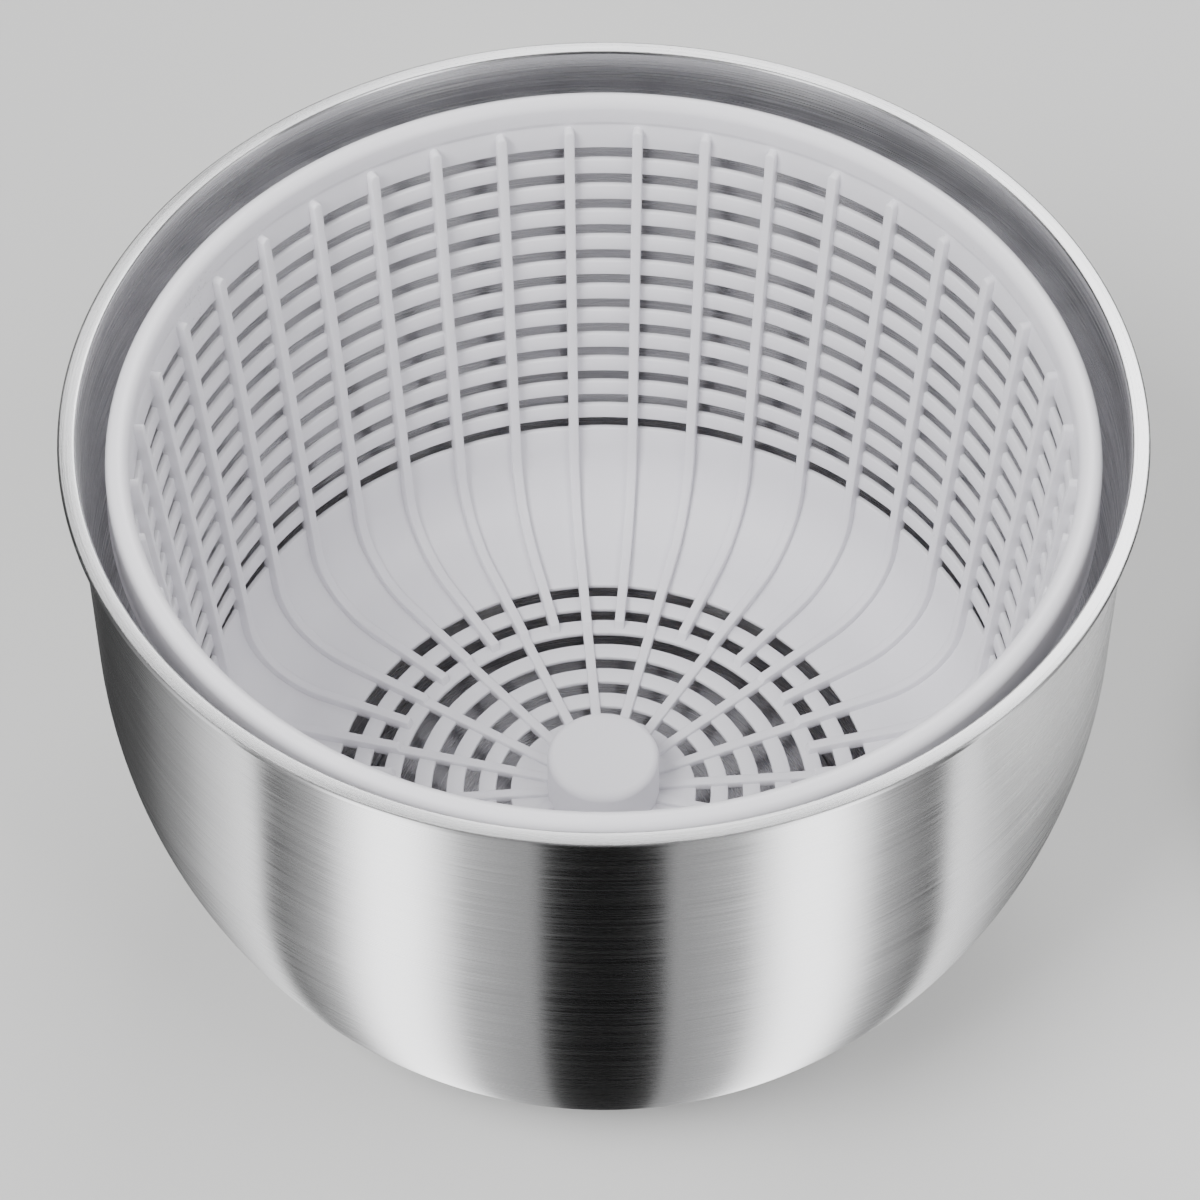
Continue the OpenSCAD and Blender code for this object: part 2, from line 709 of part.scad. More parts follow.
module brake_spring() color("#b4b6ba") on_lid() at_brake() polyhedron(
  points = [for (i = [0 : coil_rings]) for (j = [0 : wire_sides - 1]) coil_point(i, j)],
  faces = concat(
    [[for (j = [0 : wire_sides - 1]) j]],
    [[for (j = [0 : wire_sides - 1]) coil_rings * wire_sides + wire_sides - 1 - j]],
    [for (i = [0 : coil_rings - 1]) for (j = [0 : wire_sides - 1]) [
      i * wire_sides + j, (i + 1) * wire_sides + j,
      (i + 1) * wire_sides + (j + 1) % wire_sides, i * wire_sides + (j + 1) % wire_sides]]));

bowl();
base_pad();
pivot_pin();
pivot_cap();
basket();
lid_cover();
lid_seal();
gear_case_plate();
case_screws();
crank_bush();
drive_bush();
ring_gear();
planet_carrier();
planet_pins();
planet_gear_a();
planet_gear_b();
planet_gear_c();
sun_shaft();
thrust_washers();
drive_plate();
drive_ring();
plate_washer();
plate_screw();
crank_washer();
crank_arm();
crank_screw();
crank_cap();
knob_pin();
crank_knob();
knob_cap();
brake_button();
brake_spring();
brake_pad();
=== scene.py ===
"""Salad spinner: brushed steel bowl, white slotted basket, and the crank lid laid beside them."""
from math import asin, atan2, cos, hypot, pi, radians, sin, sqrt, tan

import bmesh
import bpy
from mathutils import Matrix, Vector


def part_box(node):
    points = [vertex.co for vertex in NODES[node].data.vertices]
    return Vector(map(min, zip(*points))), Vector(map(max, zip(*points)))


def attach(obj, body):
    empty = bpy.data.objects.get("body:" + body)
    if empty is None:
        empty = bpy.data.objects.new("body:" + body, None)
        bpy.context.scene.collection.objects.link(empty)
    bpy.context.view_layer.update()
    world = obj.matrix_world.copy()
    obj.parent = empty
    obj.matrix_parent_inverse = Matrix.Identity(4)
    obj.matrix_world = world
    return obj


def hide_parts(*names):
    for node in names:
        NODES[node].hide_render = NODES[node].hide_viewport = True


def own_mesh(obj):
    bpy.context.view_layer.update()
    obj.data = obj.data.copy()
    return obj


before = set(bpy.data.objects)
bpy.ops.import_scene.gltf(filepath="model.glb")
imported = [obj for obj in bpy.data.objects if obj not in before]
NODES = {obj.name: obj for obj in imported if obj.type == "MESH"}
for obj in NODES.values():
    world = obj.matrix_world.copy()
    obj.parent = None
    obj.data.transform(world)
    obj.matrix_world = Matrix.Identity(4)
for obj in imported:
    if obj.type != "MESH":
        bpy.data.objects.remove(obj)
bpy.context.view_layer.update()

MM = 0.001
# An edge sharper than this many degrees is rounded, in this many steps
EDGE_DEG = 40
EDGE_STEPS = 2


# ---------------------------------------------------------------- geometry helpers

def arc(cx, cz, r, start, end, steps):
    """Points (r, z) on an arc from start to end, in degrees."""
    turn = [radians(start + (end - start) * i / steps) for i in range(steps + 1)]
    return [(cx + r * cos(a), cz + r * sin(a)) for a in turn]


def new_object(name, bm, smooth_deg=35):
    """Turns a bmesh into an object that shades smooth up to that angle."""
    bmesh.ops.remove_doubles(bm, verts=bm.verts, dist=1e-6)
    bmesh.ops.recalc_face_normals(bm, faces=bm.faces)
    mesh = bpy.data.meshes.new(name)
    bm.to_mesh(mesh)
    bm.free()
    obj = bpy.data.objects.new(name, mesh)
    bpy.context.scene.collection.objects.link(obj)
    shade(obj, smooth_deg)
    return obj


def shade(obj, smooth_deg=35):
    """Smooth shading, with edges sharper than the angle kept sharp."""
    mesh = obj.data
    for poly in mesh.polygons:
        poly.use_smooth = True
    bm = bmesh.new()
    bm.from_mesh(mesh)
    for edge in bm.edges:
        edge.smooth = len(edge.link_faces) == 2 and edge.calc_face_angle(0) < radians(smooth_deg)
    bm.to_mesh(mesh)
    bm.free()


def lathe(name, profile, segments, smooth_deg=35):
    """Turns a closed loop of (r, z) points about the vertical axis."""
    bm = bmesh.new()
    rings = []
    for r, z in profile:
        ring = [bm.verts.new((r * cos(2 * pi * k / segments), r * sin(2 * pi * k / segments), z))
                for k in range(segments)]
        rings.append(ring)
    for i, ring in enumerate(rings):
        after = rings[(i + 1) % len(rings)]
        if profile[i][0] < 1e-9 and profile[(i + 1) % len(rings)][0] < 1e-9:
            continue
        for k in range(segments):
            j = (k + 1) % segments
            bm.faces.new((ring[k], ring[j], after[j], after[k]))
    bmesh.ops.remove_doubles(bm, verts=bm.verts, dist=1e-7)
    bmesh.ops.dissolve_degenerate(bm, edges=bm.edges, dist=1e-7)
    return new_object(name, bm, smooth_deg)


def apply_bevel(obj, width):
    """Rounds the sharp edges of a piece and applies the modifier."""
    bevel = obj.modifiers.new("bevel", "BEVEL")
    bevel.width = width
    bevel.segments = EDGE_STEPS
    bevel.limit_method = "ANGLE"
    bevel.angle_limit = radians(EDGE_DEG)
    bevel.use_clamp_overlap = True
    bevel.miter_outer = "MITER_ARC"
    depsgraph = bpy.context.evaluated_depsgraph_get()
    mesh = bpy.data.meshes.new_from_object(obj.evaluated_get(depsgraph))
    obj.modifiers.clear()
    obj.data = mesh


def soften(node, width, body, material):
    """A copy of a CAD node with rounded edges, which stands for the node."""
    bm = bmesh.new()
    bm.from_mesh(NODES[node].data)
    bmesh.ops.remove_doubles(bm, verts=bm.verts, dist=1e-6)
    bmesh.ops.dissolve_limit(bm, angle_limit=radians(1), verts=bm.verts, edges=bm.edges)
    piece = new_object(node + "_soft", bm)
    apply_bevel(piece, width)
    shade(piece, 50)
    settle(piece, body, material)
    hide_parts(node)
    return piece


def settle(piece, body, material):
    """Gives a piece its material and the CAD body that it rides on."""
    piece.data.materials.clear()
    piece.data.materials.append(material)
    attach(piece, body)


# ---------------------------------------------------------------- material helpers

class Mat:
    """A node material and short ways to add and join its nodes."""

    def __init__(self, name, color, roughness, metallic=0.0):
        self.mat = bpy.data.materials.new(name)
        self.mat.use_nodes = True
        self.tree = self.mat.node_tree
        self.bsdf = self.tree.nodes["Principled BSDF"]
        self.set("Base Color", (*color, 1))
        self.set("Roughness", roughness)
        self.set("Metallic", metallic)

    def set(self, socket, value):
        self.bsdf.inputs[socket].default_value = value

    def node(self, kind, **settings):
        made = self.tree.nodes.new(kind)
        for key, value in settings.items():
            setattr(made, key, value)
        return made

    def link(self, source, target):
        self.tree.links.new(source, target)

    def math(self, operation, a, b=0.0):
        made = self.node("ShaderNodeMath", operation=operation)
        for socket, value in zip(made.inputs, (a, b)):
            if isinstance(value, (int, float)):
                socket.default_value = value
            else:
                self.link(value, socket)
        return made.outputs[0]

    def coords(self, scale=(1, 1, 1)):
        """Object coordinates in metres, scaled: every CAD and Blender piece has its origin at 0."""
        source = self.node("ShaderNodeTexCoord").outputs["Object"]
        mapping = self.node("ShaderNodeMapping", vector_type="POINT")
        mapping.inputs["Scale"].default_value = scale
        self.link(source, mapping.inputs["Vector"])
        return mapping.outputs["Vector"]

    def noise(self, vector, scale, detail=3.0, roughness=0.6):
        made = self.node("ShaderNodeTexNoise")
        made.inputs["Scale"].default_value = scale
        made.inputs["Detail"].default_value = detail
        made.inputs["Roughness"].default_value = roughness
        self.link(vector, made.inputs["Vector"])
        return made.outputs["Fac"]

    def span(self, value, low, high, start=0.0, end=1.0):
        """Maps value from start..end to low..high."""
        made = self.node("ShaderNodeMapRange")
        made.inputs["From Min"].default_value = start
        made.inputs["From Max"].default_value = end
        made.inputs["To Min"].default_value = low
        made.inputs["To Max"].default_value = high
        self.link(value, made.inputs["Value"])
        return made.outputs["Result"]

    def mix(self, factor, color_a, color_b):
        made = self.node("ShaderNodeMix", data_type="RGBA")
        made.inputs["A"].default_value = (*color_a, 1)
        made.inputs["B"].default_value = (*color_b, 1)
        self.link(factor, made.inputs["Factor"])
        return made.outputs["Result"]

    def bump(self, height, strength, distance):
        made = self.node("ShaderNodeBump")
        made.inputs["Strength"].default_value = strength
        made.inputs["Distance"].default_value = distance
        self.link(height, made.inputs["Height"])
        self.link(made.outputs["Normal"], self.bsdf.inputs["Normal"])

    def turned(self, centre, around, along):
        """Coordinates for marks that run round a vertical axis: slow around it, fast along the profile."""
        source = self.node("ShaderNodeTexCoord").outputs["Object"]
        offset = self.node("ShaderNodeVectorMath", operation="SUBTRACT")
        offset.inputs[1].default_value = centre
        self.link(source, offset.inputs[0])
        split = self.node("ShaderNodeSeparateXYZ")
        self.link(offset.outputs[0], split.inputs[0])
        x, y, z = split.outputs
        radius = self.math("SQRT", self.math("ADD", self.math("MULTIPLY", x, x),
                                             self.math("MULTIPLY", y, y)))
        path = self.math("ADD", z, radius)
        joined = self.node("ShaderNodeCombineXYZ")
        self.link(self.math("MULTIPLY", x, around), joined.inputs[0])
        self.link(self.math("MULTIPLY", y, around), joined.inputs[1])
        self.link(self.math("MULTIPLY", path, along), joined.inputs[2])
        return joined.outputs[0]


def brushed_steel(name, centre, color=(0.66, 0.66, 0.67), roughness=0.24, anisotropic=0.92):
    """Steel brushed round a vertical axis through centre."""
    m = Mat(name, color, roughness, 1.0)
    fine = m.noise(m.turned(centre, 6, 900), 3.0, 4.0, 0.7)
    broad = m.noise(m.turned(centre, 4, 520), 2.0, 3.0, 0.6)
    blend = m.math("ADD", m.math("MULTIPLY", fine, 0.75), m.math("MULTIPLY", broad, 0.25))
    m.link(m.span(blend, roughness - 0.08, roughness + 0.12, 0.3, 0.7), m.bsdf.inputs["Roughness"])
    dark = tuple(0.80 * c for c in color)
    light = tuple(min(1.0, 1.12 * c) for c in color)
    m.link(m.mix(m.span(blend, 0, 1, 0.32, 0.68), dark, light), m.bsdf.inputs["Base Color"])
    m.bump(fine, 0.035, 0.0002)
    m.set("Anisotropic", anisotropic)
    m.set("Anisotropic Rotation", 0.25)
    tangent = m.node("ShaderNodeTangent", direction_type="RADIAL", axis="Z")
    m.link(tangent.outputs[0], m.bsdf.inputs["Tangent"])
    return m.mat


def turned_steel(name, color=(0.70, 0.70, 0.71), roughness=0.28):
    """Small turned or drawn steel pieces: faint scratches in every direction."""
    m = Mat(name, color, roughness, 1.0)
    marks = m.noise(m.coords((1, 1, 3)), 900, 5.0, 0.7)
    m.link(m.span(marks, roughness - 0.07, roughness + 0.13), m.bsdf.inputs["Roughness"])
    m.bump(marks, 0.08, 0.0001)
    return m.mat


def moulded_plastic(name, color, roughness, grain=0.06, subsurface=0.0, coat=0.0, mottle=0.04):
    """Injection-moulded plastic: a fine grain, a slow change of tone, and rubbed patches."""
    m = Mat(name, color, roughness)
    grain_noise = m.noise(m.coords(), 1400, 3.0, 0.55)
    slow = m.noise(m.coords(), 14, 3.0, 0.5)
    dark = tuple(c * (1 - mottle) for c in color)
    m.link(m.mix(slow, dark, color), m.bsdf.inputs["Base Color"])
    rubbed = m.math("ADD", m.math("MULTIPLY", grain_noise, 0.4), m.math("MULTIPLY", slow, 0.6))
    m.link(m.span(rubbed, roughness - 0.06, roughness + 0.10), m.bsdf.inputs["Roughness"])
    m.bump(grain_noise, grain, 0.0002)
    m.set("IOR", 1.49)
    if subsurface:
        m.set("Subsurface Weight", subsurface)
        m.set("Subsurface Radius", (1.0, 0.95, 0.9))
        m.set("Subsurface Scale", 0.004)
    if coat:
        m.set("Coat Weight", coat)
        m.set("Coat Roughness", 0.12)
    return m.mat


def rubber(name, color, roughness=0.75):
    """Matt silicone or rubber with a fine dusty grain."""
    m = Mat(name, color, roughness)
    dust = m.noise(m.coords(), 700, 5.0, 0.7)
    m.link(m.mix(dust, tuple(0.8 * c for c in color), tuple(1.2 * c for c in color)),
           m.bsdf.inputs["Base Color"])
    m.link(m.span(dust, roughness - 0.08, roughness + 0.1), m.bsdf.inputs["Roughness"])
    m.bump(dust, 0.12, 0.0002)
    return m.mat


# ---------------------------------------------------------------- sizes, in metres

bowl_low, bowl_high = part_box("bowl")
basket_low, basket_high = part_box("basket")
BOWL_AXIS = (0.0, 0.0, 0.0)

RIM_R = (bowl_high.x - bowl_low.x) / 2
RIM_W = 3.7 * MM
RIM_T = 1.5 * MM
STEEL_T = 0.7 * MM
SIDE_ARC = 152 * MM
BASE_ARC = 27 * MM
SIDE_DEG = 39
PAD_R = (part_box("base_pad")[1].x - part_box("base_pad")[0].x) / 2
RECESS = 1.6 * MM
WALL_R = RIM_R - RIM_W
SIDE_Z = bowl_low.z + SIDE_ARC * sin(radians(SIDE_DEG)) + BASE_ARC * (1 - sin(radians(SIDE_DEG)))
SIDE_X = WALL_R - SIDE_ARC
BASE_X = SIDE_X + (SIDE_ARC - BASE_ARC) * cos(radians(SIDE_DEG))

RIDGE = 0.5 * MM
LIP_R = (basket_high.x - basket_low.x) / 2 - RIDGE
LIP_Z = basket_high.z
LIP_W = 5.7 * MM
LIP_LOW = LIP_Z - 8 * MM
LIP_SKIRT = 6 * MM
BASKET_T = 1.5 * MM
BASKET_EDGE = 0.32 * MM
CORNER_R = 24 * MM
CORNER_GAP = 3.5 * MM
RIB_N = 40
RIB_W = 2.6 * MM
RIB_PROUD = 2.4 * MM
RIB_TOP = LIP_Z - 8.7 * MM
ROW_TOP = LIP_Z - 18 * MM
ROW_PITCH = 8.7 * MM
ROW_N = 12
SLOT_H = 4.0 * MM
HUB_R = 15 * MM
HUB_GAP = 0.4 * MM
HUB_EDGE = 2 * MM
KEY_W = 16.2 * MM
FLOOR_SLOT_R = HUB_R + 12 * MM
FLOOR_SLOT_N = 6
FLOOR_RING = 57 * MM
SPOKE_PROUD = 0.3 * MM + 0.9 * MM
WALL_IN = LIP_R - LIP_W + 0.6 * MM
CORNER_Z = basket_low.z + CORNER_R
CORNER_REACH = SIDE_ARC - STEEL_T - CORNER_GAP - CORNER_R
CORNER_X = SIDE_X + sqrt(CORNER_REACH ** 2 - (SIDE_Z - CORNER_Z) ** 2)
LEAN = (WALL_IN + BASKET_T - CORNER_X, LIP_LOW - CORNER_Z)
DRAFT = atan2(LEAN[0], LEAN[1]) - asin(CORNER_R / hypot(*LEAN))


# ---------------------------------------------------------------- bowl

def bowl_profile():
    """Closed loop of the steel sheet: underside, side, hemmed rim, and back down the inside."""
    low, top = bowl_low.z, bowl_high.z
    inner = WALL_R - STEEL_T
    edge, hem, press = 0.7 * MM, RIM_T / 2, 0.8 * MM
    under = [(0, low + RECESS)]
    under += arc(PAD_R - press, low + RECESS - press, press, 90, 0, 5)
    under += arc(PAD_R + press, low + press, press, 180, 270, 5)
    side = arc(BASE_X, low + BASE_ARC, BASE_ARC, -90, -SIDE_DEG, 20)
    side += arc(SIDE_X, SIDE_Z, SIDE_ARC, -SIDE_DEG, 0, 40)[1:]
    steps = 10
    side += [(WALL_R, SIDE_Z + (top - RIM_T - edge - SIDE_Z) * k / steps) for k in range(1, steps)]
    rim = arc(WALL_R + edge, top - RIM_T - edge, edge, 180, 90, 6)
    rim += arc(RIM_R - hem, top - hem, hem, -90, 90, 14)
    rim += arc(inner + edge, top - edge, edge, 90, 180, 8)
    inside = [(inner, top - edge - (top - edge - SIDE_Z) * k / steps) for k in range(1, steps)]
    inside += arc(SIDE_X, SIDE_Z, SIDE_ARC - STEEL_T, 0, -SIDE_DEG, 40)
    inside += arc(BASE_X, low + BASE_ARC, BASE_ARC - STEEL_T, -SIDE_DEG, -90, 20)[1:]
    floor = arc(PAD_R + STEEL_T + press, low + STEEL_T + press, press, 270, 180, 5)
    floor += arc(PAD_R + STEEL_T - press, low + STEEL_T + RECESS - press, press, 0, 90, 5)
    floor += [(0, low + STEEL_T + RECESS)]
    return under + side + rim + inside + floor


def make_bowl(material):
    bowl = lathe("bowl_sheet", bowl_profile(), segments=256, smooth_deg=60)
    settle(bowl, "bowl_unit", material)
    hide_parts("bowl")
    return bowl


# ---------------------------------------------------------------- basket

def wall_at(z, radius):
    """Radius at height z of the wall line that is tangent to a circle of that radius at the corner."""
    touch_r = CORNER_X + radius * cos(DRAFT)
    touch_z = CORNER_Z - radius * sin(DRAFT)
    return touch_r + (z - touch_z) * tan(DRAFT)


class Station:
    """One line round the basket: its inner and outer points, the way a rib stands proud, and its size."""

    def __init__(self, inner, outer, inward, proud=RIB_PROUD, width=1.0, slot_after=False):
        self.inner, self.outer, self.inward = inner, outer, inward
        self.proud, self.width, self.slot_after = proud, width, slot_after


def floor_stations():
    top, under = basket_low.z + BASKET_T, basket_low.z
    cuts = [HUB_R - MM]
    for i in range(FLOOR_SLOT_N):
        middle = FLOOR_SLOT_R + i * ROW_PITCH
        cuts += [middle - SLOT_H / 2, middle + SLOT_H / 2]
    out = []
    for i, r in enumerate(cuts):
        out.append(Station((r, top), (r, under), (0, 1), SPOKE_PROUD if r < FLOOR_RING else RIB_PROUD,
                           slot_after=i % 2 == 1))
    step = [s for s in out if s.inner[0] > FLOOR_RING][0]
    at = out.index(step)
    for r, proud in ((FLOOR_RING - 0.4 * MM, SPOKE_PROUD), (FLOOR_RING + 0.4 * MM, RIB_PROUD)):
        out.insert(at, Station((r, top), (r, under), (0, 1), proud))
        at += 1
    return out


def corner_stations():
    out = []
    steps = 9
    for k in range(steps + 1):
        a = radians(-90) + (radians(90) - DRAFT) * k / steps
        c, s = cos(a), sin(a)
        inner_r = CORNER_R - BASKET_T
        out.append(Station((CORNER_X + inner_r * c, CORNER_Z + inner_r * s),
                           (CORNER_X + CORNER_R * c, CORNER_Z + CORNER_R * s), (-c, -s)))
    return out


def wall_stations():
    inner_r = CORNER_R - BASKET_T
    cuts = []
    for i in range(ROW_N):
        middle = ROW_TOP - i * ROW_PITCH
        cuts += [(middle + SLOT_H / 2, 1.0, False), (middle - SLOT_H / 2, 1.0, True)]
    cuts.reverse()
    round_z = RIB_TOP - RIB_W / 2
    for deg in (0, 30, 55, 75):
        cuts.append((round_z + RIB_W / 2 * sin(radians(deg)), cos(radians(deg)), False))
    out = [Station((wall_at(z, inner_r), z), (wall_at(z, CORNER_R), z), (-1, 0),
                   width=width, slot_after=slot) for z, width, slot in cuts]
    out.append(Station((wall_at(RIB_TOP, inner_r), RIB_TOP), (wall_at(RIB_TOP, CORNER_R), RIB_TOP),
                       (-1, 0), proud=0, width=cos(radians(75))))
    out.append(Station((wall_at(LIP_LOW, inner_r), LIP_LOW), (wall_at(LIP_LOW, CORNER_R), LIP_LOW),
                       (-1, 0), proud=0, width=0.5))
    return out


def lip_loop():
    """Points over the lip, from the inside of the wall to the outside of the wall."""
    middle, bead = LIP_R - LIP_W / 2, LIP_W / 2
    low = LIP_LOW - LIP_SKIRT
    skirt_in = LIP_R - 1.5 * MM
    out = [(LIP_R - LIP_W + 0.15 * MM, LIP_LOW + 0.7 * MM), (LIP_R - LIP_W, LIP_LOW + 1.4 * MM)]
    out += arc(middle, LIP_Z - bead, bead, 180, 0, 20)
    out += [(LIP_R, LIP_LOW + 1.2 * MM)]
    out += [(LIP_R, low + 2.2 * MM)]
    out += arc(LIP_R - 0.4 * MM, low + 0.9 * MM, 0.9 * MM, 55, -90, 8)
    out += arc(skirt_in + 0.5 * MM, low + 0.5 * MM, 0.5 * MM, -90, -180, 3)
    out += [(skirt_in, LIP_LOW - 0.8 * MM)]
    out += [(skirt_in - 0.5 * MM, LIP_LOW - 0.1 * MM)]
    return out


def rib_lines():
    """The lines up the basket: for each rib its two sides, then three lines across the gap."""
    lines = []
    for k in range(RIB_N):
        lines += [("left", k, 0.0), ("right", k, 0.0)]
        lines += [("gap", k, share) for share in (0.25, 0.5, 0.75)]
    return lines


def line_angle(line, radius, width):
    """Angle of a line at a radius. Every second rib keeps its angle inside the floor's ring."""
    kind, k, share = line

    def half(index):
        r = max(radius, FLOOR_RING) if index % 2 else radius
        return asin(min(0.9, RIB_W * width / 2 / r))
    middle = (k + 0.5) * 2 * pi / RIB_N
    if kind == "left":
        return middle - half(k)
    if kind == "right":
        return middle + half(k)
    start = middle + half(k)
    end = middle + 2 * pi / RIB_N - half(k + 1)
    return start + (end - start) * share


def add_bands(bm, rings):
    """Faces between each ring of points and the next."""
    for low_ring, high_ring in zip(rings, rings[1:]):
        for j in range(len(low_ring)):
            n = (j + 1) % len(low_ring)
            bm.faces.new((low_ring[j], high_ring[j], high_ring[n], low_ring[n]))


def make_basket(material):
    """One closed shell: floor, corner, slotted wall and lip, with the ribs raised on its inside."""
    stations = floor_stations() + corner_stations() + wall_stations()
    lines = rib_lines()
    count = len(lines)
    bm = bmesh.new()

    def ring(points, width):
        made = []
        for line in lines:
            a = line_angle(line, points[0], width)
            made.append(bm.verts.new((points[0] * cos(a), points[0] * sin(a), points[1])))
        return made

    def has_rib(line, station):
        kept = line[1] % 2 == 0 or station.inner[0] > FLOOR_RING
        return line[0] != "gap" and kept and station.proud > 0

    inner = [ring(s.inner, s.width) for s in stations]
    outer = [ring(s.outer, s.width) for s in stations]
    top = []
    for s, base in zip(stations, inner):
        r = s.inner[0] + s.inward[0] * s.proud
        z = s.inner[1] + s.inward[1] * s.proud
        row = []
        for line, vert in zip(lines, base):
            if has_rib(line, s):
                a = line_angle(line, s.inner[0], s.width)
                middle = (line[1] + 0.5) * 2 * pi / RIB_N
                a = middle + (a - middle) * s.inner[0] / r
                row.append(bm.verts.new((r * cos(a), r * sin(a), z)))
            else:
                row.append(vert)
        top.append(row)

    def face(*verts):
        kept = [v for i, v in enumerate(verts) if v is not verts[i - 1]]
        if len(set(kept)) >= 3:
            bm.faces.new(kept)

    def is_solid(i, j):
        if not stations[i].slot_after:
            return True
        line = lines[j % count]
        return line[0] == "left" and (line[1] % 2 == 0 or stations[i].inner[0] > FLOOR_RING)

    for i in range(len(stations) - 1):
        for j in range(count):
            n = (j + 1) % count
            solid = is_solid(i, j)
            if solid:
                is_rib = lines[j][0] == "left"
                upper = top if is_rib else inner
                face(upper[i][j], upper[i + 1][j], upper[i + 1][n], upper[i][n])
                face(outer[i][j], outer[i][n], outer[i + 1][n], outer[i + 1][j])
            if solid != is_solid(i, j - 1):
                face(inner[i][j], inner[i + 1][j], outer[i + 1][j], outer[i][j])
            if i > 0 and solid != is_solid(i - 1, j):
                face(inner[i][j], inner[i][n], outer[i][n], outer[i][j])
            if lines[j][0] != "gap":
                face(inner[i][j], inner[i + 1][j], top[i + 1][j], top[i][j])

    add_bands(bm, [inner[-1]] + [ring(p, 0.5) for p in lip_loop()] + [outer[-1]])
    for j in range(count):
        n = (j + 1) % count
        face(top[0][j], inner[0][j], outer[0][j], outer[0][n], inner[0][n], top[0][n])
    round_edges(bm, BASKET_EDGE)
    basket = new_object("basket_shell", bm, 50)
    settle(basket, "basket_unit", material)
    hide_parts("basket")
    return basket


def round_edges(bm, width):
    """Rounds the outward edges of a closed mesh."""
    bmesh.ops.recalc_face_normals(bm, faces=bm.faces)
    sharp = [e for e in bm.edges if len(e.link_faces) == 2 and e.is_convex
             and e.calc_face_angle(0) > radians(EDGE_DEG)]
    bmesh.ops.bevel(bm, geom=sharp, offset=width, segments=EDGE_STEPS, profile=0.5,
                    affect="EDGES", clamp_overlap=False)


def make_basket_hub(material):
    """The raised cup in the middle of the floor, with the square socket under it."""
    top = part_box("pivot_cap")[1].z + HUB_GAP + BASKET_T
    profile = [(0, basket_low.z), (HUB_R, basket_low.z), (HUB_R, basket_low.z + BASKET_T)]
    profile += arc(HUB_R - HUB_EDGE, top - HUB_EDGE, HUB_EDGE, 0, 90, 8)
    profile += [(0, top)]
    hub = lathe("basket_hub", profile, segments=96)
    cutter_mesh = bmesh.new()
    bmesh.ops.create_cube(cutter_mesh, size=1)
    height = top - BASKET_T - basket_low.z
    for vert in cutter_mesh.verts:
        vert.co = Vector((vert.co.x * KEY_W, vert.co.y * KEY_W,
                          basket_low.z - height + (vert.co.z + 0.5) * 2 * height))
    cutter = new_object("cutter", cutter_mesh)
    cut = hub.modifiers.new("socket", "BOOLEAN")
    cut.object = cutter
    cut.operation = "DIFFERENCE"
    cut.solver = "EXACT"
    depsgraph = bpy.context.evaluated_depsgraph_get()
    mesh = bpy.data.meshes.new_from_object(hub.evaluated_get(depsgraph))
    hub.modifiers.clear()
    hub.data = mesh
    bpy.data.objects.remove(cutter)
    settle(hub, "basket_unit", material)
    return hub


# ---------------------------------------------------------------- lid details

def make_brake_spring(material):
    """A round wire wound in a helix, built once at its rest length, riding on the lid."""
    low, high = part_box("brake_spring")
    wire, turns, steps, sides = 0.4 * MM, 3, 32, 10
    centre = ((low.x + high.x) / 2, (low.y + high.y) / 2)
    coil = (high.x - low.x) / 2 - wire
    rise = high.z - low.z - 2 * wire
    bm = bmesh.new()
    rings = []
    for i in range(turns * steps + 1):
        a = 2 * pi * i / steps
        z = low.z + wire + rise * i / (turns * steps)
        rings.append([bm.verts.new((centre[0] + (coil + wire * cos(b)) * cos(a),
                                    centre[1] + (coil + wire * cos(b)) * sin(a),
                                    z + wire * sin(b)))
                      for b in [2 * pi * k / sides for k in range(sides)]])
    for first, second in zip(rings, rings[1:]):
        for k in range(sides):
            n = (k + 1) % sides
            bm.faces.new((first[k], second[k], second[n], first[n]))
    bm.faces.new(rings[0])
    bm.faces.new(reversed(rings[-1]))
    spring = new_object("brake_coil", bm, 60)
    settle(spring, "lid_unit", material)
    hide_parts("brake_spring")
    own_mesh(spring)
    return spring


# ---------------------------------------------------------------- stage

def make_floor():
    bm = bmesh.new()
    bmesh.ops.create_grid(bm, x_segments=1, y_segments=1, size=6)
    floor = new_object("floor", bm)
    m = Mat("pale_floor", (0.60, 0.60, 0.595), 0.42)
    tone = m.noise(m.coords(), 3, 2.0, 0.5)
    m.link(m.mix(tone, (0.59, 0.59, 0.585), (0.61, 0.61, 0.605)), m.bsdf.inputs["Base Color"])
    floor.data.materials.append(m.mat)
    floor.visible_glossy = False


def area_light(name, at, aim, size, power):
    data = bpy.data.lights.new(name, "AREA")
    data.shape = "RECTANGLE"
    data.size, data.size_y = size
    data.energy = power
    light = bpy.data.objects.new(name, data)
    light.location = at
    light.rotation_euler = (Vector(aim) - Vector(at)).to_track_quat("-Z", "Y").to_euler()
    bpy.context.scene.collection.objects.link(light)
    return light


# Brightness of the room as seen, as it lights plain surfaces, and overhead
ROOM_LEVEL = 0.50
DIFFUSE_LEVEL = 0.36
TOP_LEVEL = 0.28
# Brightness round the room by the angle from the front, in degrees, the same on both sides
BANDS = ((0, 0.01), (7, 0.01), (7.8, 0.8), (9, 0.5), (16, 0.8), (22, 4.5), (27, 4.5), (33, 0.7),
         (40, 0.2), (42.5, 0.08), (43.5, 2.6), (48, 1.6), (56, 0.5), (66, 0.12), (80, 0.06),
         (95, 0.22), (130, 0.25))
# The turning point of those angles, behind the middle, keeps a band as wide low down as at the rim
BAND_SHIFT = 0.6


def fill_ramp(ramp, bands):
    while len(ramp.elements) < len(bands):
        ramp.elements.new(0.5)
    for element, (deg, value) in zip(ramp.elements, bands):
        element.position = deg / 180
        element.color = (value, value, value, 1)


